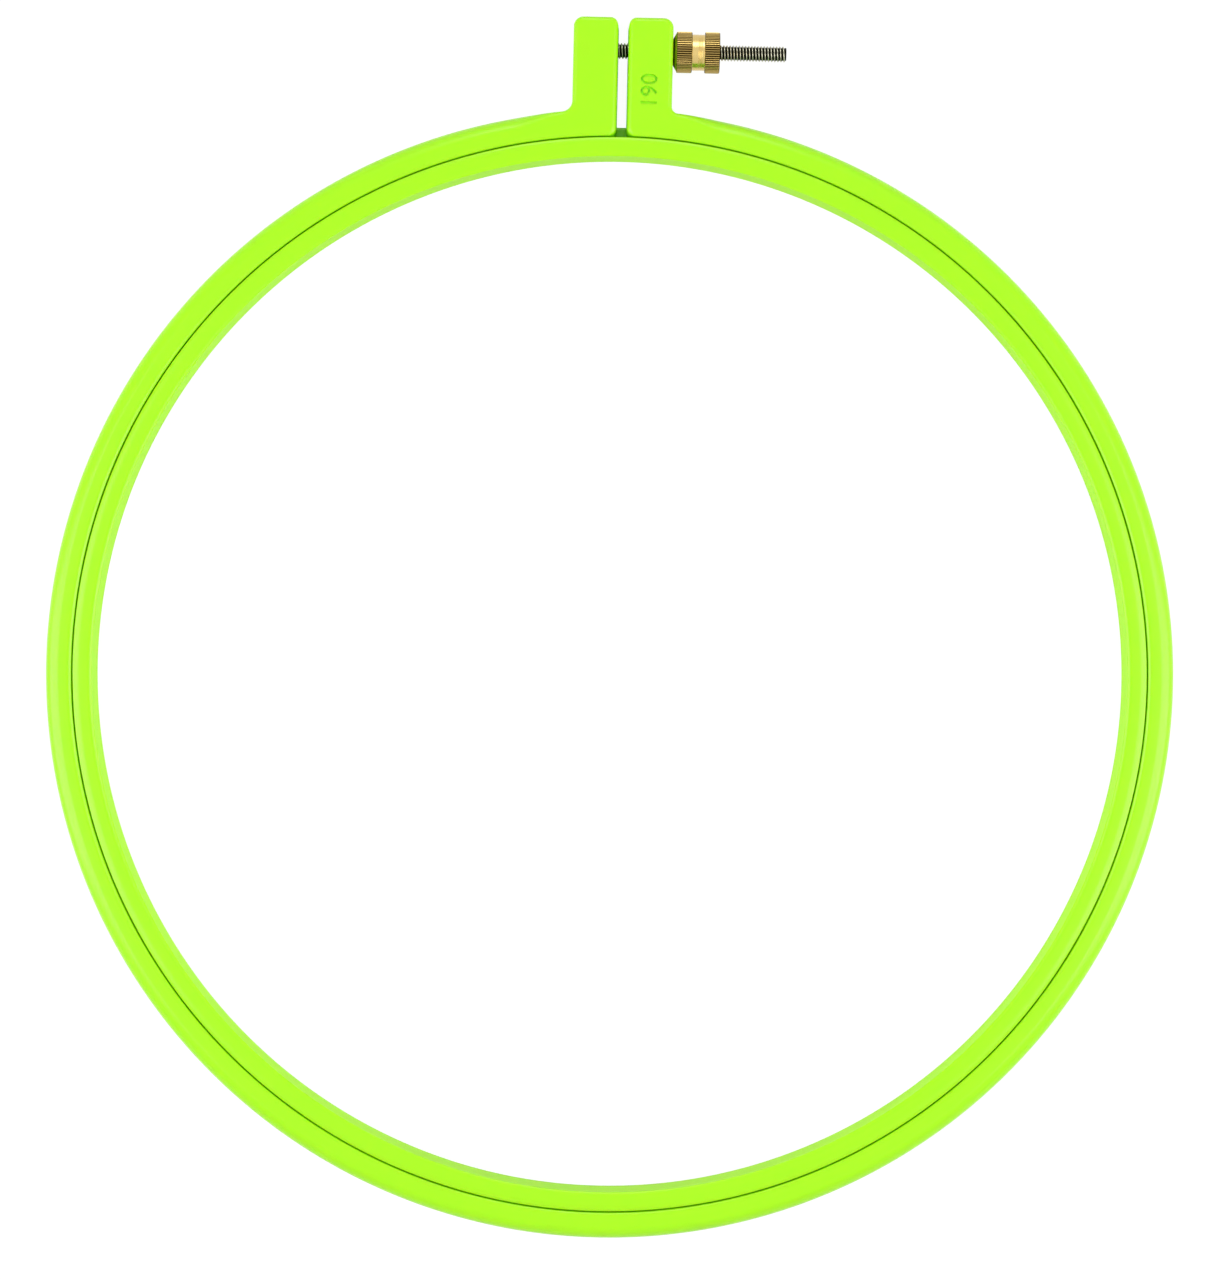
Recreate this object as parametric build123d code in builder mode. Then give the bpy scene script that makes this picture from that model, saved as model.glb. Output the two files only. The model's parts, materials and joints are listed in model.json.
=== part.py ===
from build123d import *
import os
from math import pi, sqrt

# Embroidery hoop in four pieces: a plain inner hoop with a back flange, a split
# outer hoop with two lugs, a hexagon-headed clamp screw and a knurled brass nut.
# Millimetres. The hoops' axis is Z, the origin is the hoop's centre at half its
# depth, +Z is the front, the lugs stand towards +Y and the nut is on the +X side.

# Overall sizes
hoop_size = 190.0  # diameter of the line where the two hoops meet
hoop_depth = 9.0  # front face to back face

# Inner hoop
inner_wall = 3.65  # thickness across the inner hoop, out to the meeting line
flange_reach = 2.4  # how far the back flange stands out past the meeting line
flange_thickness = 1.2
front_round = 0.8  # front edges of both hoops, at the opening and at the meeting line
edge_round = 0.4  # back edges of both hoops

# Outer hoop
outer_wall = 4.7  # thickness across the outer hoop
shoulder_round = 2.5  # large rounding of the outer hoop's rim, front and back
hoop_clearance = 0.1  # radial gap between the two hoops

# Lugs of the outer hoop
lug_gap = 1.8  # opening between the lugs
lug_width = 7.9
lug_rise = 16.25  # top of the lugs above the rim
lug_edge_round = 0.8  # rounding of the lugs' front and back edges
lug_outer_corner = 1.7  # top corners away from the gap
lug_gap_corner = 1.4  # top corners at the gap
lug_foot_corner = 1.5  # corners where the gap opens onto the inner hoop
left_root_round = 2.0  # fillet from the rim up to the left lug
right_root_round = 1.2  # fillet from the rim up to the right lug

# Clamp screw
screw_rise = 10.75  # screw axis above the rim
thread_diameter = 2.85
screw_length = 35.0  # under the head
head_across_flats = 5.5
head_height = 2.0
tip_chamfer = 0.3

# Seat of the screw in the lugs
pocket_depth = 2.7
pocket_clearance = 0.1  # all round the hexagon
hole_clearance = 0.08  # radial, screw in the lugs

# Thumb nut
nut_diameter = 7.25  # over the knurl
nose_diameter = 4.5  # small end, against the lug
nose_length = 0.75
band_length = 2.65  # each of the two knurled bands
waist_length = 2.25
waist_diameter = 6.35
band_chamfer = 0.12
knurl_pitch = 0.4
knurl_depth = 0.15
nut_clearance = 0.05  # radial, screw in the nut

# Worked out from the sizes above
meeting_radius = hoop_size / 2
bore_radius = meeting_radius - inner_wall
seat_radius = meeting_radius - hoop_clearance
flange_radius = meeting_radius + flange_reach
rim_radius = meeting_radius + outer_wall
front = hoop_depth / 2
back = -hoop_depth / 2
flange_top = back + flange_thickness
outer_depth = front - flange_top
lug_near = lug_gap / 2
lug_far = lug_near + lug_width
lug_top = rim_radius + lug_rise
screw_y = rim_radius + screw_rise
screw_z = (front + flange_top) / 2
head_seat_x = -lug_far + pocket_depth
screw_end_x = head_seat_x + screw_length
nut_length = nose_length + 2 * band_length + waist_length
knurl_ridges = round(pi * nut_diameter / knurl_pitch)

# Planes along the screw: one across it, one that holds its axis
across_screw = Plane(origin=(0, screw_y, screw_z), x_dir=(0, 1, 0), z_dir=(1, 0, 0))
along_screw = Plane(origin=(0, screw_y, screw_z), x_dir=(1, 0, 0), z_dir=(0, -1, 0))
screw_axis = Axis((0, screw_y, screw_z), (1, 0, 0))


def save(node, name):
    """Label a finished piece and write it as one STEP file."""
    node.part.label = name
    export_step(node.part, f"parts/{name}.step")


def corner(sketch, x, y):
    """The corner of a sketch that lies nearest to a point."""
    return sketch.vertices().sort_by_distance((x, y, 0))[0]


def lug_block(side):
    """One lug with its rounded corners and edges; side is -1 for the left lug and 1 for the right."""
    foot_y = sqrt(meeting_radius**2 - lug_far**2) - edge_round
    with BuildPart() as block:
        with BuildSketch(Plane.XY.offset(flange_top)) as plan:
            with Locations((side * (lug_near + lug_far) / 2, (foot_y + lug_top) / 2)):
                Rectangle(lug_width, lug_top - foot_y)
            Circle(meeting_radius, mode=Mode.SUBTRACT)
            fillet(corner(plan, side * lug_near, lug_top), lug_gap_corner)
            fillet(corner(plan, side * lug_far, lug_top), lug_outer_corner)
            fillet(corner(plan, side * lug_near, foot_y), lug_foot_corner)
        extrude(amount=outer_depth)
        fillet(block.faces().filter_by(Axis.Z).edges(), lug_edge_round)
    return block.part


def root_web(side, root_round):
    """The filleted corner between the rim and a lug's outer side, as high as the rim's straight wall."""
    centre_x = lug_far + root_round
    centre_y = sqrt((rim_radius + root_round) ** 2 - centre_x**2)
    to_rim = rim_radius / (rim_radius + root_round)
    inside_lug = side * (lug_far - edge_round)
    with BuildPart() as web:
        with BuildSketch(Plane.XY.offset(flange_top + shoulder_round)):
            with BuildLine():
                Polyline(
                    (inside_lug, centre_y),
                    (side * lug_far, centre_y),
                    (side * centre_x * to_rim, centre_y * to_rim),
                    (inside_lug, centre_y * to_rim),
                    close=True,
                )
            make_face()
            with Locations((side * centre_x, centre_y)):
                Circle(root_round, mode=Mode.SUBTRACT)
        extrude(amount=outer_depth - 2 * shoulder_round)
    return web.part


os.makedirs("parts", exist_ok=True)

# Inner hoop: a plain ring whose back edge spreads into a flange that the outer hoop sits on
with BuildPart() as inner_hoop:
    with BuildSketch(Plane.XZ) as inner_section:
        with BuildLine():
            Polyline(
                (bore_radius, back),
                (flange_radius, back),
                (flange_radius, flange_top),
                (seat_radius, flange_top),
                (seat_radius, front),
                (bore_radius, front),
                close=True,
            )
        make_face()
        flange_corners = inner_section.vertices().group_by(Axis.X)[-1]
        fillet([corner(inner_section, bore_radius, back), *flange_corners], edge_round)
        fillet(inner_section.vertices().group_by(Axis.Y)[-1], front_round)
    revolve(axis=Axis.Z)
save(inner_hoop, "inner_hoop")

# Outer hoop: a ring with a rounded rim, split between two lugs that take the screw
lugs = [lug_block(side) for side in (-1, 1)]
webs = [root_web(-1, left_root_round), root_web(1, right_root_round)]
with BuildPart() as outer_hoop:
    with BuildSketch(Plane.XZ) as outer_section:
        with Locations(((meeting_radius + rim_radius) / 2, screw_z)):
            Rectangle(outer_wall, outer_depth)
        fillet(outer_section.vertices().group_by(Axis.X)[-1], shoulder_round)
        fillet(corner(outer_section, meeting_radius, front), front_round)
        fillet(corner(outer_section, meeting_radius, flange_top), edge_round)
    revolve(axis=Axis.Z)
    with BuildSketch(Plane.XY.offset(flange_top)):
        with Locations((0, rim_radius)):
            Rectangle(2 * (lug_near + lug_foot_corner), 3 * outer_wall)
    extrude(amount=outer_depth, mode=Mode.SUBTRACT)
    add(lugs + webs)
    with BuildSketch(across_screw.offset(-lug_far)):
        Circle(thread_diameter / 2 + hole_clearance)
    extrude(amount=2 * lug_far, mode=Mode.SUBTRACT)
    with BuildSketch(across_screw.offset(-lug_far)):
        RegularPolygon(head_across_flats / 2 + pocket_clearance, 6, major_radius=False)
    extrude(amount=pocket_depth, mode=Mode.SUBTRACT)
save(outer_hoop, "outer_hoop")

# Clamp screw: a hexagon head that the left lug's pocket keeps from turning, and a long shank
with BuildPart() as clamp_screw:
    with BuildSketch(across_screw.offset(head_seat_x - head_height)):
        RegularPolygon(head_across_flats / 2, 6, major_radius=False)
    extrude(amount=head_height)
    with BuildSketch(across_screw.offset(head_seat_x)):
        Circle(thread_diameter / 2)
    extrude(amount=screw_length)
    chamfer(clamp_screw.faces().sort_by(Axis.X)[-1].edges(), tip_chamfer)
save(clamp_screw, "clamp_screw")

# Thumb nut: turned brass with a coned nose, a waist and two knurled bands
with BuildPart() as thumb_nut:
    with BuildSketch(along_screw) as nut_section:
        with BuildLine():
            Polyline(
                (lug_far, thread_diameter / 2 + nut_clearance),
                (lug_far, nose_diameter / 2),
                (lug_far + nose_length, nut_diameter / 2),
                (lug_far + nose_length + band_length, nut_diameter / 2),
                (lug_far + nose_length + band_length, waist_diameter / 2),
                (lug_far + nut_length - band_length, waist_diameter / 2),
                (lug_far + nut_length - band_length, nut_diameter / 2),
                (lug_far + nut_length, nut_diameter / 2),
                (lug_far + nut_length, thread_diameter / 2 + nut_clearance),
                close=True,
            )
        make_face()
        rims = nut_section.vertices().group_by(Axis.Y)[-1].sort_by(Axis.X)
        chamfer(rims[1:], band_chamfer)
    revolve(axis=screw_axis)
    first_band = (lug_far, nose_length + band_length)
    second_band = (lug_far + nut_length - band_length, band_length)
    for groove_start, groove_length in (first_band, second_band):
        with BuildSketch(across_screw.offset(groove_start)):
            with PolarLocations(nut_diameter / 2, knurl_ridges):
                Rectangle(sqrt(2) * knurl_depth, sqrt(2) * knurl_depth, rotation=45)
        extrude(amount=groove_length, mode=Mode.SUBTRACT)
save(thumb_nut, "thumb_nut")
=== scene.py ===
import json
from math import atan2, cos, hypot, pi, radians, sin, sqrt, tan, tau

import bmesh
import bpy
from bpy.props import FloatProperty, FloatVectorProperty, IntProperty, PointerProperty
from mathutils import Matrix, Vector


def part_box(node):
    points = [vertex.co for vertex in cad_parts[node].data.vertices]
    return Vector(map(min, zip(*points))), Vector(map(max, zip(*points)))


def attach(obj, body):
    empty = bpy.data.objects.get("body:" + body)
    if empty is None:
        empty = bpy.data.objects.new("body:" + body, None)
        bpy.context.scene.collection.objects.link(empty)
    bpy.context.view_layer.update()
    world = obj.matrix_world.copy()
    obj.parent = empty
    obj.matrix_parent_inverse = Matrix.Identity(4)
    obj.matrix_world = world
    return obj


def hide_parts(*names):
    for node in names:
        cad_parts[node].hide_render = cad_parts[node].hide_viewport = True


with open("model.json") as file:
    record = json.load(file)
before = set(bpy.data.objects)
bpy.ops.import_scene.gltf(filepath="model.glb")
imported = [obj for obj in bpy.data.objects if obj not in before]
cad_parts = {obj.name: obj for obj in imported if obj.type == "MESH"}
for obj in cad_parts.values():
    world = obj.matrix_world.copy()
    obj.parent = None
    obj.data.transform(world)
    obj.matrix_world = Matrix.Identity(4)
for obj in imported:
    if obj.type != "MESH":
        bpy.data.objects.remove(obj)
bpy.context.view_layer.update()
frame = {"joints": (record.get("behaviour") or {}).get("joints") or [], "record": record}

bl_info = {
    "name": "Embroidery hoop",
    "version": (1, 0, 0),
    "blender": (4, 5, 0),
    "location": "View3D > Sidebar > Hoop",
    "description": "Builds the finished surfaces of an embroidery hoop around its packed frame",
    "category": "Object",
}

MM = 0.001

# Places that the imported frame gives, in metres
inner_low, inner_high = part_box("inner_hoop")
outer_low, outer_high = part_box("outer_hoop")
screw_low, screw_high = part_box("clamp_screw")
nut_low, nut_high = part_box("thumb_nut")
mounts = {mount["name"]: mount for mount in frame["record"]["mounts"]}
joints = {joint["name"]: joint for joint in frame["joints"]}
FRONT = inner_high.z
BACK = inner_low.z
FLANGE_TOP = outer_low.z
FLANGE_RADIUS = inner_high.x
BORE_RADIUS = mounts["hoop_opening"]["dims"]["r_mm"] * MM
RIM_RADIUS = outer_high.x
LUG_TOP = outer_high.y
LUG_FAR = nut_low.x
SCREW_Y, SCREW_Z = joints["nut_turn"]["pos_m"][1:]
HEAD_FACE = screw_low.x
SCREW_TIP = screw_high.x
HEAD_APOTHEM = (screw_high.z - screw_low.z) / 2
NUT_END = nut_high.x
NUT_RADIUS = (nut_high.z - nut_low.z) / 2


def linear(code):
    """An sRGB hex colour as linear RGBA, which is what Blender's colours are."""
    parts = [int(code[i : i + 2], 16) / 255 for i in (1, 3, 5)]
    return (*(c / 12.92 if c <= 0.04045 else ((c + 0.055) / 1.055) ** 2.4 for c in parts), 1.0)


def length(name, description, millimetres):
    """A length property with its default in millimetres."""
    return FloatProperty(
        name=name, description=description, default=millimetres * MM, min=0, unit="LENGTH", precision=5
    )


def colour(name, description, code):
    """A colour property with its default as an sRGB hex code."""
    return FloatVectorProperty(
        name=name, description=description, default=linear(code), size=4, min=0, max=1, subtype="COLOR"
    )


class HoopSettings(bpy.types.PropertyGroup):
    meeting_radius: length("Meeting radius", "Radius of the line where the two hoops meet", 95.0)
    hoop_clearance: length("Hoop clearance", "Gap that shows between the two hoops", 0.25)
    crown_width: length("Crown width", "Width over which the front faces round off at their edges", 0.9)
    crown_height: length("Crown height", "Height over which the front faces round off at their edges", 0.35)
    seat_crown_width: length("Seat crown width", "Crown width of the inner hoop at the meeting line", 1.4)
    edge_round: length("Back rounding", "Rounding of the hoops' back edges", 0.4)
    shoulder_round: length("Shoulder rounding", "Large rounding of the outer hoop's rim", 2.5)
    lug_gap: length("Lug gap", "Opening between the two lugs, at half their depth", 1.8)
    gap_lean: length("Gap lean", "How far each lug's wall leans into the gap from front to back", 0.15)
    lug_edge_round: length("Lug edge rounding", "Rounding of the lugs' front and back edges", 0.8)
    lug_outer_corner: length("Lug outer corner", "Top corner of a lug away from the gap", 1.7)
    lug_gap_corner: length("Lug gap corner", "Top corner of a lug at the gap", 1.4)
    lug_foot_corner: length("Lug foot corner", "Corner where the gap opens onto the inner hoop", 1.5)
    left_root_round: length("Left root", "Fillet from the rim up to the left lug", 2.0)
    right_root_round: length("Right root", "Fillet from the rim up to the right lug", 1.2)
    root_blend: length("Root blend", "Stretch of rim over which the lug's rounding grows to the rim's", 9.0)
    hole_clearance: length("Hole clearance", "Radial gap of the screw in the lugs", 0.08)
    pocket_depth: length("Pocket depth", "Depth of the six-sided pocket for the screw's head", 2.7)
    pocket_clearance: length("Pocket clearance", "Gap all round the screw's head", 0.1)
    mark_height: length("Mark height", "Height of the size number in the right lug", 3.0)
    mark_depth: length("Mark depth", "Depth of the size number", 0.6)
    mark_start: length("Mark start", "From the screw's axis back to the start of the size number", 10.6)
    plastic: colour("Plastic", "Colour of both hoops", "#AEF805")


class HardwareSettings(bpy.types.PropertyGroup):
    thread_radius: length("Thread radius", "Radius over the screw's thread", 1.425)
    thread_pitch: length("Thread pitch", "Distance from one thread crest to the next", 0.55)
    thread_depth: length("Thread depth", "Depth of the screw's thread", 0.33)
    head_height: length("Head height", "Thickness of the screw's head", 2.0)
    nose_radius: length("Nose radius", "Small end of the nut, at the lug", 2.25)
    nose_length: length("Nose length", "Length of the nut's coned nose", 0.75)
    band_length: length("Band length", "Length of each knurled band", 2.65)
    waist_radius: length("Waist radius", "Radius between the knurled bands", 3.175)
    bore_radius: length("Bore radius", "Radius of the nut's bore", 1.475)
    knurl_depth: length("Knurl depth", "Depth of the knurl's grooves", 0.15)
    knurl_ridges: IntProperty(name="Knurl ridges", description="Ridges round the nut", default=57, min=12)
    steel: colour("Steel", "Colour of the screw's plated crests", "#B8B6A0")
    # Painted shade: the near-black colour at the thread's roots stands for the shade in its grooves
    steel_root: colour("Steel root", "Colour at the bottom of the screw's thread", "#14150C")
    brass: colour("Brass", "Colour of the nut's turned faces", "#D9BE7A")
    brass_ridge: colour("Brass ridge", "Colour of the knurl's rubbed ridges", "#C2A662")
    # Painted shade: the dark colour at the bottom of the knurl's grooves, also used on the nut's nose at
    # the lug
    brass_groove: colour("Brass groove", "Colour at the bottom of the knurl", "#3A2C0C")


class StageSettings(bpy.types.PropertyGroup):
    camera_height: length("Camera height", "Height of the camera above the hoop's front face", 700.0)
    view_height: length("View height", "Height of the camera's view at the hoop's front face", 225.65)
    aim_x: FloatProperty(name="Aim X", description="Camera's place along X", default=-0.0013, unit="LENGTH")
    aim_y: FloatProperty(name="Aim Y", description="Camera's place along Y", default=0.0060, unit="LENGTH")
    roll: FloatProperty(name="Roll", description="Camera's turn", default=radians(1.25), subtype="ANGLE")
    floor: colour("Floor", "Colour of the floor", "#F4F4F2")
    floor_shade: colour("Floor shade", "How strongly the shadow shows on the white ground", "#5A5A5A")
    floor_glow: FloatProperty(name="Floor glow", description="White of the ground as seen", default=0.95)
    world_level: FloatProperty(name="World level", description="Light from all round", default=0.24)
    lamp_power: FloatProperty(name="Lamp power", description="Watts of each side lamp", default=9.4)


def add_node(tree, kind, inputs=(), **settings):
    """Add a shader node with its settings, and give each named input a value or another node's output."""
    made = tree.nodes.new(kind)
    for name, value in settings.items():
        setattr(made, name, value)
    for socket, value in dict(inputs).items():
        if isinstance(value, bpy.types.NodeSocket):
            tree.links.new(value, made.inputs[socket])
        else:
            made.inputs[socket].default_value = value
    return made


def new_material(name):
    """An empty node material and its tree."""
    material = bpy.data.materials.new(name)
    material.use_nodes = True
    material.node_tree.nodes.clear()
    return material, material.node_tree


def moulded_plastic(settings):
    """Injection-moulded styrene plastic: an even, saturated colour with a soft, slightly uneven gloss."""
    material, tree = new_material("moulded_styrene")
    spot = add_node(tree, "ShaderNodeTexCoord")
    place = spot.outputs["Object"]
    # Faint flow marks from the mould, about 9 mm across
    flow = add_node(tree, "ShaderNodeTexNoise", {"Vector": place, "Scale": 1 / (9 * MM), "Detail": 2.0})
    # Fine mould grain, really about 0.1 mm, drawn 0.5 mm wide so that it shows in the gloss
    grain = add_node(tree, "ShaderNodeTexNoise", {"Vector": place, "Scale": 1 / (0.5 * MM), "Detail": 3.0})
    deep = tuple(0.94 * c for c in settings.plastic[:3]) + (1.0,)
    tint = add_node(
        tree,
        "ShaderNodeMix",
        {"Factor": flow.outputs["Fac"], "A": deep, "B": settings.plastic},
        data_type="RGBA",
    )
    # The fronts come polished from the mould; the upright walls were drawn along it and are dull
    facing = add_node(tree, "ShaderNodeSeparateXYZ", {"Vector": spot.outputs["Normal"]})
    lying = add_node(tree, "ShaderNodeMath", {0: facing.outputs["Z"]}, operation="ABSOLUTE")
    dullness = add_node(
        tree,
        "ShaderNodeMapRange",
        {"Value": lying.outputs["Value"], "From Min": 0.1, "From Max": 0.6, "To Min": 0.58, "To Max": 0.21},
        interpolation_type="SMOOTHSTEP",
    )
    gloss = add_node(
        tree,
        "ShaderNodeMath",
        {0: grain.outputs["Fac"], 1: 0.08, 2: dullness.outputs["Result"]},
        operation="MULTIPLY_ADD",
    )
    skin = add_node(
        tree, "ShaderNodeBump", {"Height": grain.outputs["Fac"], "Strength": 0.12, "Distance": 0.01 * MM}
    )
    shader = add_node(
        tree,
        "ShaderNodeBsdfPrincipled",
        {
            "Base Color": tint.outputs["Result"],
            "Roughness": gloss.outputs["Value"],
            "Normal": skin.outputs["Normal"],
            "IOR": 1.5,
            "Specular IOR Level": 0.38,
            "Subsurface Weight": 0.55,
            "Subsurface Radius": (0.5, 1.0, 0.2),
            "Subsurface Scale": 2.0 * MM,
        },
    )
    add_node(tree, "ShaderNodeOutputMaterial", {"Surface": shader.outputs["BSDF"]})
    return material


def screw_axis_distance(tree):
    """Distance from the screw's axis, as a node output in metres."""
    place = add_node(tree, "ShaderNodeTexCoord").outputs["Object"]
    across = add_node(
        tree,
        "ShaderNodeVectorMath",
        {0: place, 1: (0.0, 1.0, 1.0), 2: (0.0, -SCREW_Y, -SCREW_Z)},
        operation="MULTIPLY_ADD",
    )
    distance = add_node(tree, "ShaderNodeVectorMath", {0: across.outputs["Vector"]}, operation="LENGTH")
    return distance.outputs["Value"]


def plated_steel(settings):
    """Zinc-plated rolled steel thread: bright crests over matt, near-black olive roots, which are painted
    shade in the thread's grooves.
    """
    material, tree = new_material("zinc_plated_rolled_steel")
    distance = screw_axis_distance(tree)
    crest = settings.thread_radius
    # Painted shade: the colour darkens from the crests down to the thread's roots
    crest_not_root_shade = add_node(
        tree,
        "ShaderNodeMapRange",
        {
            "Value": distance,
            "From Min": crest - 0.8 * settings.thread_depth,
            "From Max": crest - 0.15 * settings.thread_depth,
        },
        interpolation_type="SMOOTHSTEP",
    )
    # The head, and the tip's face inside the thread's roots, are as bright as the crests
    place = add_node(tree, "ShaderNodeTexCoord").outputs["Object"]
    along = add_node(tree, "ShaderNodeSeparateXYZ", {"Vector": place})
    head_end = HEAD_FACE + settings.head_height + 0.01 * MM
    head = add_node(tree, "ShaderNodeMath", {0: along.outputs["X"], 1: head_end}, operation="LESS_THAN")
    inside_roots = crest - settings.thread_depth - 0.01 * MM
    tip = add_node(tree, "ShaderNodeMath", {0: distance, 1: inside_roots}, operation="LESS_THAN")
    ends = add_node(
        tree, "ShaderNodeMath", {0: head.outputs["Value"], 1: tip.outputs["Value"]}, operation="MAXIMUM"
    )
    bright = add_node(
        tree, "ShaderNodeMath", {0: crest_not_root_shade.outputs["Result"], 1: ends.outputs["Value"]}, operation="MAXIMUM"
    )
    tint = add_node(
        tree,
        "ShaderNodeMix",
        {"Factor": bright.outputs["Value"], "A": settings.steel_root, "B": settings.steel},
        data_type="RGBA",
    )
    gloss = add_node(
        tree, "ShaderNodeMapRange", {"Value": bright.outputs["Value"], "To Min": 0.5, "To Max": 0.24}
    )
    shader = add_node(
        tree,
        "ShaderNodeBsdfPrincipled",
        {"Base Color": tint.outputs["Result"], "Metallic": 1.0, "Roughness": gloss.outputs["Result"]},
    )
    add_node(tree, "ShaderNodeOutputMaterial", {"Surface": shader.outputs["BSDF"]})
    return material


def turned_brass(settings):
    """Lathe-turned yellow brass: a bright surface with fine rings left by the tool."""
    material, tree = new_material("turned_brass")
    place = add_node(tree, "ShaderNodeTexCoord").outputs["Object"]
    # Tool rings about 0.05 mm apart, drawn 0.12 mm apart so that they show
    along = add_node(
        tree, "ShaderNodeVectorMath", {0: place, 1: (1 / (0.12 * MM), 0.0, 0.0)}, operation="MULTIPLY"
    )
    rings = add_node(
        tree, "ShaderNodeTexNoise", {"Vector": along.outputs["Vector"], "Scale": 1.0, "Detail": 1.0}
    )
    skin = add_node(
        tree, "ShaderNodeBump", {"Height": rings.outputs["Fac"], "Strength": 0.12, "Distance": 0.02 * MM}
    )
    gloss = add_node(
        tree, "ShaderNodeMapRange", {"Value": rings.outputs["Fac"], "To Min": 0.2, "To Max": 0.34}
    )
    shader = add_node(
        tree,
        "ShaderNodeBsdfPrincipled",
        {
            "Base Color": settings.brass,
            "Metallic": 1.0,
            "Roughness": gloss.outputs["Result"],
            "Normal": skin.outputs["Normal"],
        },
    )
    add_node(tree, "ShaderNodeOutputMaterial", {"Surface": shader.outputs["BSDF"]})
    return material


def knurled_brass(settings):
    """Rolled straight knurl on brass: bright rubbed ridges over duller grooves browned with painted shade;
    also the painted shade on the nut's nose at the lug.
    """
    material, tree = new_material("knurled_brass")
    distance = screw_axis_distance(tree)
    # Painted shade: the colour darkens from the ridges down into the grooves
    rubbed = add_node(
        tree,
        "ShaderNodeMapRange",
        {"Value": distance, "From Min": NUT_RADIUS - 0.7 * settings.knurl_depth, "From Max": NUT_RADIUS},
        interpolation_type="SMOOTHSTEP",
    )
    tint = add_node(
        tree,
        "ShaderNodeMix",
        {"Factor": rubbed.outputs["Result"], "A": settings.brass_groove, "B": settings.brass_ridge},
        data_type="RGBA",
    )
    gloss = add_node(
        tree, "ShaderNodeMapRange", {"Value": rubbed.outputs["Result"], "To Min": 0.45, "To Max": 0.28}
    )
    shader = add_node(
        tree,
        "ShaderNodeBsdfPrincipled",
        {"Base Color": tint.outputs["Result"], "Metallic": 1.0, "Roughness": gloss.outputs["Result"]},
    )
    add_node(tree, "ShaderNodeOutputMaterial", {"Surface": shader.outputs["BSDF"]})
    return material


def seen_directly(tree):
    """A node output: 1 for camera, glossy and transmission rays, 0 for the rays that carry soft light."""
    rays = add_node(tree, "ShaderNodeLightPath")
    mirrored = add_node(
        tree,
        "ShaderNodeMath",
        {0: rays.outputs["Is Glossy Ray"], 1: rays.outputs["Is Transmission Ray"]},
        operation="MAXIMUM",
    )
    return add_node(
        tree,
        "ShaderNodeMath",
        {0: rays.outputs["Is Camera Ray"], 1: mirrored.outputs["Value"]},
        operation="MAXIMUM",
    ).outputs["Value"]


def white_paper(settings):
    """Matt white studio paper: lit like paper, but seen as a white ground with a breath of shadow."""
    material, tree = new_material("matt_white_paper")
    paper = add_node(tree, "ShaderNodeBsdfDiffuse", {"Color": settings.floor})
    shade = add_node(tree, "ShaderNodeBsdfDiffuse", {"Color": settings.floor_shade})
    glow = add_node(tree, "ShaderNodeEmission", {"Strength": settings.floor_glow})
    ground = add_node(tree, "ShaderNodeAddShader", {0: shade.outputs["BSDF"], 1: glow.outputs["Emission"]})
    both = add_node(
        tree,
        "ShaderNodeMixShader",
        {0: seen_directly(tree), 1: paper.outputs["BSDF"], 2: ground.outputs["Shader"]},
    )
    add_node(tree, "ShaderNodeOutputMaterial", {"Surface": both.outputs["Shader"]})
    return material


def add_net(mesh, rows, loop_rows=False, loop_columns=False):
    """Add a net of quads through rows of points, and return its rows of vertices."""
    net = [[mesh.verts.new(point) for point in row] for row in rows]
    row_pairs = list(zip(net, net[1:]))
    if loop_rows:
        row_pairs.append((net[-1], net[0]))
    for lower, upper in row_pairs:
        rungs = list(zip(lower, upper))
        rung_pairs = list(zip(rungs, rungs[1:]))
        if loop_columns:
            rung_pairs.append((rungs[-1], rungs[0]))
        for (a, b), (d, c) in rung_pairs:
            mesh.faces.new((a, d, c, b))
    return net


def to_data(mesh, name):
    """Turn a bmesh into mesh data, with its faces pointing outwards."""
    bmesh.ops.recalc_face_normals(mesh, faces=mesh.faces)
    data = bpy.data.meshes.new(name)
    mesh.to_mesh(data)
    mesh.free()
    return data


def add_object(name, data):
    """Put data into the scene as an object."""
    made = bpy.data.objects.new(name, data)
    bpy.context.scene.collection.objects.link(made)
    return made


def finish_piece(data, node, materials, sharp=radians(32)):
    """Show a finished mesh in place of a CAD node, smooth-shaded but for edges sharper than an angle."""
    for material in materials:
        data.materials.append(material)
    data.polygons.foreach_set("use_smooth", [True] * len(data.polygons))
    data.set_sharp_from_angle(angle=sharp)
    piece = add_object(node + "_finish", data)
    flat_faces = piece.modifiers.new("flat_faces", "WEIGHTED_NORMAL")
    flat_faces.keep_sharp = True
    body = next(name for name, nodes in frame["record"]["behaviour"]["bodies"].items() if node in nodes)
    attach(piece, body)
    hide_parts(node)
    return piece


def soft_outline(corners, steps=8):
    """A closed outline through (x, z, width, height) corners, each rounded over that width and height."""
    points = []
    for before, corner, after in zip(corners[-1:] + corners[:-1], corners, corners[1:] + corners[:1]):
        here, rounding = Vector(corner[:2]), Vector(corner[2:])
        back = (Vector(before[:2]) - here).normalized()
        ahead = (Vector(after[:2]) - here).normalized()
        turns = [pi / 2 * i / steps for i in range(steps + 1)] if rounding.x else [0]
        points += [here + rounding * (back * (1 - sin(a)) + ahead * (1 - cos(a))) for a in turns]
    return points


def on_screw(x, radius, angle):
    """A point at a distance from the screw's axis; angle 0 is towards +Y."""
    return (x, SCREW_Y + radius * cos(angle), SCREW_Z + radius * sin(angle))


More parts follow.
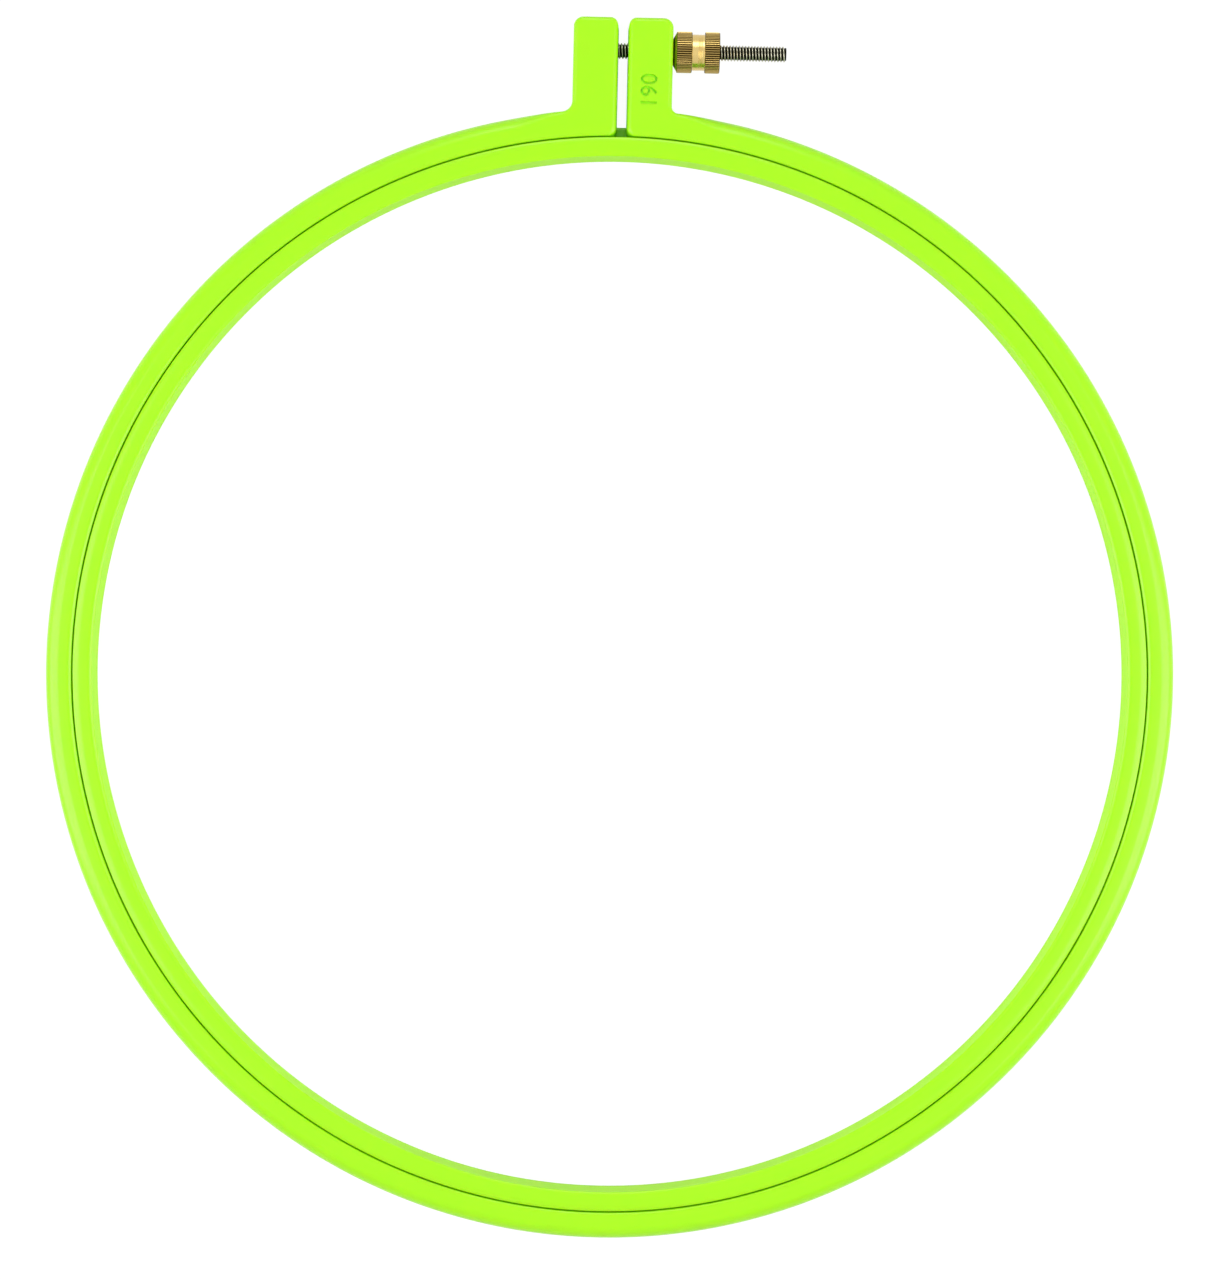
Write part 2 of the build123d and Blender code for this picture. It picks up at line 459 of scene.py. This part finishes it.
class HOOP_OT_inner_hoop(bpy.types.Operator):
    """Build the inner hoop: a plain ring with a flange round its back"""

    bl_idname = "hoop.inner_hoop"
    bl_label = "Inner hoop"

    def execute(self, context):
        sizes = context.scene.hoop_settings
        seat = sizes.meeting_radius - sizes.hoop_clearance
        crown = (sizes.crown_width, sizes.crown_height)
        edge = (sizes.edge_round, sizes.edge_round)
        section = soft_outline(
            [
                (BORE_RADIUS, BACK, *edge),
                (FLANGE_RADIUS, BACK, *edge),
                (FLANGE_RADIUS, FLANGE_TOP, *edge),
                (seat, FLANGE_TOP, 0, 0),
                (seat, FRONT, sizes.seat_crown_width, sizes.crown_height),
                (BORE_RADIUS, FRONT, *crown),
            ]
        )
        segments = 400
        turns = [tau * i / segments for i in range(segments)]
        mesh = bmesh.new()
        add_net(mesh, [[(p.x * cos(a), p.x * sin(a), p.y) for p in section] for a in turns], True, True)
        plastic = bpy.data.materials.get("moulded_styrene") or moulded_plastic(sizes)
        finish_piece(to_data(mesh, "inner_hoop_finish"), "inner_hoop", [plastic])
        return {"FINISHED"}


def half_outline(sizes, root_round):
    """Stations round the outer hoop's +X half: place, outward direction, front rounding's width and height,
    back rounding, and how far the wall leans outwards from front to back."""
    near = sizes.lug_gap / 2
    foot = Vector((near + sizes.lug_foot_corner, 0))
    foot.y = sqrt((sizes.meeting_radius + sizes.lug_foot_corner) ** 2 - foot.x**2)
    root = Vector((LUG_FAR + root_round, 0))
    root.y = sqrt((RIM_RADIUS + root_round) ** 2 - root.x**2)
    root_angle = atan2(root.y, root.x)
    foot_angle = atan2(foot.y, foot.x)
    gap_corner = Vector((near + sizes.lug_gap_corner, LUG_TOP - sizes.lug_gap_corner))
    outer_corner = Vector((LUG_FAR - sizes.lug_outer_corner, LUG_TOP - sizes.lug_outer_corner))
    middle = Vector((0, 0))
    inner = (sizes.crown_width, sizes.crown_height, sizes.edge_round, 0)
    lug = (sizes.lug_edge_round,) * 3 + (0,)
    gap = (sizes.lug_edge_round,) * 3 + (sizes.gap_lean,)
    rim = (sizes.shoulder_round,) * 3 + (0,)
    blend = sizes.root_blend / (RIM_RADIUS * (root_angle + pi / 2))

    def ease(low, high, share):
        share = min(share, 1)
        return [a + (b - a) * share * share * (3 - 2 * share) for a, b in zip(low, high)]

    stations = []
    for centre, radius, start, end, steps, outward, rounding in (
        (middle, sizes.meeting_radius, -pi / 2, foot_angle, 240, -1, lambda s: inner),
        (foot, sizes.lug_foot_corner, foot_angle + pi, pi, 12, 1, lambda s: ease(inner, gap, s)),
        (gap_corner, sizes.lug_gap_corner, pi, pi / 2, 12, 1, lambda s: ease(gap, lug, s)),
        (outer_corner, sizes.lug_outer_corner, pi / 2, 0, 12, 1, lambda s: lug),
        (root, root_round, pi, root_angle + pi, 16, -1, lambda s: lug),
        (middle, RIM_RADIUS, root_angle, -pi / 2, 360, 1, lambda s: ease(lug, rim, s / blend)),
    ):
        for i in range(steps + 1):
            angle = start + (end - start) * i / steps
            away = Vector((cos(angle), sin(angle)))
            place = centre + radius * away
            if not stations or (place - stations[-1][0]).length > 0.001 * MM:
                stations.append((place, outward * away, *rounding(i / steps)))
    return stations


def edge_section(station, steps=10):
    """Points down one station of the outer hoop: front edge, side wall, back edge."""
    place, outward, width, height, back_round, lean = station
    front_place = place - outward * lean / 2
    back_place = place + outward * lean / 2
    turns = [pi / 2 * i / steps for i in range(steps + 1)]
    front = [(front_place - outward * width * (1 - sin(a)), FRONT - height * (1 - cos(a))) for a in turns]
    back = [
        (back_place - outward * back_round * (1 - sin(a)), FLANGE_TOP + back_round * (1 - cos(a)))
        for a in turns
    ]
    return [(spot.x, spot.y, z) for spot, z in front + back[::-1]]


def prism(name, outline, low, high):
    """A closed prism along X through an outline of (angle, radius) about the screw's axis."""
    mesh = bmesh.new()
    ends = [[on_screw(x, radius, angle) for angle, radius in outline] for x in (low, high)]
    for end in add_net(mesh, ends, False, True):
        mesh.faces.new(end)
    return add_object(name, to_data(mesh, name))


def number_tool(sizes):
    """A solid of the hoop's size in millimetres, set into the right lug's face and reading up the lug."""
    digit_share = 0.72  # height of a digit over the text's size
    text = bpy.data.curves.new("size_mark", "FONT")
    text.body = str(round(2 * sizes.meeting_radius / MM))
    text.align_y = "CENTER"
    text.size = sizes.mark_height / digit_share
    text.extrude = sizes.mark_depth
    made = add_object("size_mark", text)
    made.matrix_world = Matrix.Translation(
        ((sizes.lug_gap / 2 + LUG_FAR) / 2, SCREW_Y - sizes.mark_start, FRONT)
    ) @ Matrix.Rotation(pi / 2, 4, "Z")
    bpy.context.view_layer.update()
    data = bpy.data.meshes.new_from_object(made.evaluated_get(bpy.context.evaluated_depsgraph_get()))
    data.transform(made.matrix_world)
    bpy.data.objects.remove(made)
    mesh = bmesh.new()
    mesh.from_mesh(data)
    bmesh.ops.remove_doubles(mesh, verts=mesh.verts, dist=0.001 * MM)
    return add_object("size_mark_tool", to_data(mesh, "size_mark_tool"))


def carve(data, tools):
    """Cut tool solids out of mesh data, remove the tools and return the carved data."""
    blank = add_object("blank", data)
    for tool in tools:
        cut = blank.modifiers.new(tool.name, "BOOLEAN")
        cut.object = tool
        cut.operation = "DIFFERENCE"
        cut.solver = "EXACT"
    bpy.context.view_layer.update()
    carved = bpy.data.meshes.new_from_object(blank.evaluated_get(bpy.context.evaluated_depsgraph_get()))
    for used in [blank, *tools]:
        bpy.data.objects.remove(used)
    return carved


class HOOP_OT_outer_hoop(bpy.types.Operator):
    """Build the split outer hoop with its two lugs, screw hole, head pocket and size number"""

    bl_idname = "hoop.outer_hoop"
    bl_label = "Outer hoop"

    def execute(self, context):
        sizes = context.scene.hoop_settings
        right = half_outline(sizes, sizes.right_root_round)
        mirror = Matrix(((-1, 0), (0, 1)))
        left = [
            (mirror @ place, mirror @ outward, *rounding)
            for place, outward, *rounding in half_outline(sizes, sizes.left_root_round)
        ]
        stations = right + left[-2:0:-1]
        mesh = bmesh.new()
        net = add_net(mesh, [edge_section(station) for station in stations], True, False)
        for side in (0, -1):
            loop = [row[side] for row in net]
            edges = [mesh.edges.get(pair) for pair in zip(loop, loop[1:] + loop[:1])]
            bmesh.ops.triangle_fill(mesh, edges=edges, use_beauty=True)
        hole = context.scene.hardware_settings.thread_radius + sizes.hole_clearance
        round_hole = [(tau * i / 48, hole) for i in range(48)]
        pocket_corner = (HEAD_APOTHEM + sizes.pocket_clearance) / cos(pi / 6)
        pocket = [(tau * i / 6, pocket_corner) for i in range(6)]
        past = LUG_FAR + 1 * MM
        tools = [
            prism("screw_hole", round_hole, -past, past),
            prism("head_pocket", pocket, -past, sizes.pocket_depth - LUG_FAR),
            number_tool(sizes),
        ]
        data = carve(to_data(mesh, "outer_hoop_finish"), tools)
        plastic = bpy.data.materials.get("moulded_styrene") or moulded_plastic(sizes)
        finish_piece(data, "outer_hoop", [plastic])
        return {"FINISHED"}


class HOOP_OT_clamp_screw(bpy.types.Operator):
    """Build the clamp screw: six-sided head and a right-handed thread to the tip"""

    bl_idname = "hoop.clamp_screw"
    bl_label = "Clamp screw"

    def execute(self, context):
        sizes = context.scene.hardware_settings
        around = 48
        crest, pitch = sizes.thread_radius, sizes.thread_pitch
        root = crest - sizes.thread_depth
        seat = HEAD_FACE + sizes.head_height
        # (share of the pitch, radius) from the root up a flank to the slightly rounded crest, and back down
        groove = [(0, root), (0.1, root + 0.01 * MM), (0.4, crest - 0.02 * MM), (0.45, crest)]
        groove += [(1 - share, radius) for share, radius in groove[:0:-1]]
        turns = range(-1, int((SCREW_TIP - seat) / pitch) + 2)
        lines = [(seat + (turn + share) * pitch, radius) for turn in turns for share, radius in groove]

        def thread_point(start, radius, i):
            x = min(max(start + pitch * i / around, seat), SCREW_TIP)
            runout = root + min(x - seat, SCREW_TIP - x)
            return on_screw(x, min(radius, runout), tau * i / around)

        mesh = bmesh.new()
        net = [[mesh.verts.new(thread_point(x, radius, i)) for i in range(around)] for x, radius in lines]
        step = len(groove)
        for lower, upper in zip(range(len(net) - step - 1), range(1, len(net) - step)):
            for i in range(around):
                last = i == around - 1
                a, b = net[lower][i], net[upper][i]
                d = net[lower + step][0] if last else net[lower][i + 1]
                c = net[upper + step][0] if last else net[upper][i + 1]
                mesh.faces.new((a, d, c, b))
        top_circle = 0.92 * HEAD_APOTHEM  # flat of the head, inside its chamfer
        angles = [tau * i / around for i in range(around)]
        hexagon = [HEAD_APOTHEM / cos(a % (pi / 3) - pi / 6) for a in angles]
        head = [
            [on_screw(HEAD_FACE, top_circle, a) for a in angles],
            [on_screw(HEAD_FACE + (r - top_circle) * tan(pi / 6), r, a) for a, r in zip(angles, hexagon)],
            [on_screw(seat, r, a) for a, r in zip(angles, hexagon)],
            [on_screw(seat, root, a) for a in angles],
        ]
        mesh.faces.new(add_net(mesh, head, False, True)[0])
        bmesh.ops.remove_doubles(mesh, verts=mesh.verts, dist=0.0005 * MM)
        bmesh.ops.dissolve_degenerate(mesh, edges=mesh.edges, dist=0.0002 * MM)
        bmesh.ops.holes_fill(mesh, edges=[e for e in mesh.edges if e.is_boundary], sides=0)
        data = to_data(mesh, "clamp_screw_finish")
        finish_piece(data, "clamp_screw", [plated_steel(sizes)], sharp=radians(25))
        return {"FINISHED"}


class HOOP_OT_thumb_nut(bpy.types.Operator):
    """Build the knurled nut: coned nose, two knurled bands and a turned waist"""

    bl_idname = "hoop.thumb_nut"
    bl_label = "Thumb nut"

    def execute(self, context):
        sizes = context.scene.hardware_settings
        depth = sizes.knurl_depth
        valley = NUT_RADIUS - depth
        nose = LUG_FAR + sizes.nose_length
        nose_bend = LUG_FAR + 0.3 * MM  # where the nose's two cones meet
        waist_start = nose + sizes.band_length
        waist_end = NUT_END - sizes.band_length
        waist = sizes.waist_radius
        bore = sizes.bore_radius
        lead = 0.3 * MM  # countersink of the bore
        bevel = 0.06 * MM  # at both ends of the waist
        runout = 0.08 * MM  # from the nose's cone up to the knurl
        # (x, radius, knurled) down the outside from the nose, and back along the bore
        profile = [(LUG_FAR, sizes.nose_radius, False)]
        profile += [(nose_bend, 0.55 * sizes.nose_radius + 0.45 * valley, False)]
        profile += [(nose - runout, valley, False), (nose, NUT_RADIUS, True)]
        profile += [(waist_start - depth, NUT_RADIUS, True), (waist_start, valley, False)]
        profile += [(waist_start, waist + bevel, False), (waist_start + bevel, waist, False)]
        # Three fine tool grooves near the waist's far end; (x, depth) in millimetres across one
        groove = ((-0.07, 0), (-0.02, 0.04), (0.02, 0.04), (0.07, 0))
        for cut in (4, 3, 2):
            middle = waist_end - cut * 0.26 * MM
            for offset, sink in groove:
                profile.append((middle + offset * MM, waist - sink * MM, False))
        profile += [(waist_end - bevel, waist, False), (waist_end, waist + bevel, False)]
        profile += [(waist_end, valley, False), (waist_end + depth, NUT_RADIUS, True)]
        profile += [(NUT_END - depth, NUT_RADIUS, True), (NUT_END, valley, False)]
        profile += [(NUT_END, bore + lead, False), (NUT_END - lead, bore, False)]
        profile += [(LUG_FAR + lead, bore, False), (LUG_FAR, bore + lead, False)]
        # (share of a ridge, depth) across one groove of the knurl
        ridge = ((0.0, depth), (0.2, depth), (0.48, 0.0), (0.72, 0.0))
        columns = [
            (tau * (i + share) / sizes.knurl_ridges, sink)
            for i in range(sizes.knurl_ridges)
            for share, sink in ridge
        ]
        mesh = bmesh.new()
        rows = [
            [on_screw(x, radius - (sink if knurled else 0), angle) for angle, sink in columns]
            for x, radius, knurled in profile
        ]
        add_net(mesh, rows, True, True)
        for face in mesh.faces:
            middle = face.calc_center_median()
            reach = hypot(middle.y - SCREW_Y, middle.z - SCREW_Z)
            # The knurled bands take the knurled brass; so do the nose's end face and first cone at the lug,
            # as painted shade between nut and lug
            knurl_and_nose_shade = reach > valley - 0.02 * MM or (middle.x < LUG_FAR + 0.2 * MM and reach > bore + lead)
            face.material_index = 1 if knurl_and_nose_shade else 0
        data = to_data(mesh, "thumb_nut_finish")
        brass = [turned_brass(sizes), knurled_brass(sizes)]
        finish_piece(data, "thumb_nut", brass, sharp=radians(25))
        return {"FINISHED"}


class HOOP_OT_stage(bpy.types.Operator):
    """Set up the white floor, the soft lamps, the world and the camera"""

    bl_idname = "hoop.stage"
    bl_label = "Stage"

    def execute(self, context):
        stage = context.scene.stage_settings
        self.add_floor(stage)
        self.add_lamps(stage)
        self.add_world(context.scene, stage)
        self.add_camera(context.scene, stage)
        context.scene.view_settings.view_transform = "Standard"
        return {"FINISHED"}

    def add_floor(self, stage):
        reach = 4.0
        mesh = bmesh.new()
        corners = [(-reach, -reach), (reach, -reach), (reach, reach), (-reach, reach)]
        mesh.faces.new([mesh.verts.new((x, y, BACK - 0.02 * MM)) for x, y in corners])
        data = bpy.data.meshes.new("floor")
        mesh.to_mesh(data)
        mesh.free()
        data.materials.append(white_paper(stage))
        add_object("floor", data)

    def add_lamps(self, stage):
        # Name, place, width, height, share of the power: a lamp on each side, a weaker one past the lugs
        for name, place, width, height, share in (
            ("left_lamp", (-0.84, -0.12, 0.68), 0.6, 1.4, 1.0),
            ("right_lamp", (0.84, -0.12, 0.68), 0.6, 1.4, 1.0),
            ("far_lamp", (0.0, 0.95, 0.75), 0.5, 0.5, 0.30),
        ):
            light = bpy.data.lights.new(name, "AREA")
            light.shape = "RECTANGLE"
            light.size = width
            light.size_y = height
            light.energy = stage.lamp_power * share
            lamp = add_object(name, light)
            lamp.location = place
            lamp.rotation_euler = (-Vector(place)).to_track_quat("-Z", "Y").to_euler()

    def add_world(self, scene, stage):
        world = bpy.data.worlds.new("studio")
        world.use_nodes = True
        tree = world.node_tree
        tree.nodes.clear()
        white = (1, 1, 1, 1)
        seen = add_node(tree, "ShaderNodeBackground", {"Color": white, "Strength": 1.0})
        soft = add_node(tree, "ShaderNodeBackground", {"Color": white, "Strength": stage.world_level})
        both = add_node(
            tree,
            "ShaderNodeMixShader",
            {0: seen_directly(tree), 1: soft.outputs["Background"], 2: seen.outputs["Background"]},
        )
        add_node(tree, "ShaderNodeOutputWorld", {"Surface": both.outputs["Shader"]})
        scene.world = world

    def add_camera(self, scene, stage):
        data = bpy.data.cameras.new("camera")
        data.lens = data.sensor_width * stage.camera_height / stage.view_height
        data.clip_start = 0.01
        camera = add_object("camera", data)
        camera.location = (stage.aim_x, stage.aim_y, FRONT + stage.camera_height)
        camera.rotation_euler = (0, 0, stage.roll)
        scene.camera = camera


class HOOP_PT_panel(bpy.types.Panel):
    """Buttons that build each piece of the hoop and its stage"""

    bl_idname = "HOOP_PT_panel"
    bl_label = "Embroidery hoop"
    bl_space_type = "VIEW_3D"
    bl_region_type = "UI"
    bl_category = "Hoop"

    def draw(self, context):
        for operator in OPERATORS:
            self.layout.operator(operator.bl_idname)
        for name in SETTINGS:
            group = getattr(context.scene, name)
            box = self.layout.box()
            for setting in group.bl_rna.properties:
                if setting.identifier not in {"rna_type", "name"}:
                    box.prop(group, setting.identifier)


SETTINGS = {
    "hoop_settings": HoopSettings,
    "hardware_settings": HardwareSettings,
    "stage_settings": StageSettings,
}
OPERATORS = (
    HOOP_OT_inner_hoop,
    HOOP_OT_outer_hoop,
    HOOP_OT_clamp_screw,
    HOOP_OT_thumb_nut,
    HOOP_OT_stage,
)


def register():
    for cls in (*SETTINGS.values(), *OPERATORS, HOOP_PT_panel):
        bpy.utils.register_class(cls)
    for name, group in SETTINGS.items():
        setattr(bpy.types.Scene, name, PointerProperty(type=group))


def unregister():
    for name in SETTINGS:
        delattr(bpy.types.Scene, name)
    for cls in (HOOP_PT_panel, *reversed(OPERATORS), *SETTINGS.values()):
        bpy.utils.unregister_class(cls)


def main():
    register()
    bpy.ops.hoop.inner_hoop()
    bpy.ops.hoop.outer_hoop()
    bpy.ops.hoop.clamp_screw()
    bpy.ops.hoop.thumb_nut()
    bpy.ops.hoop.stage()


if __name__ == "__main__":
    main()
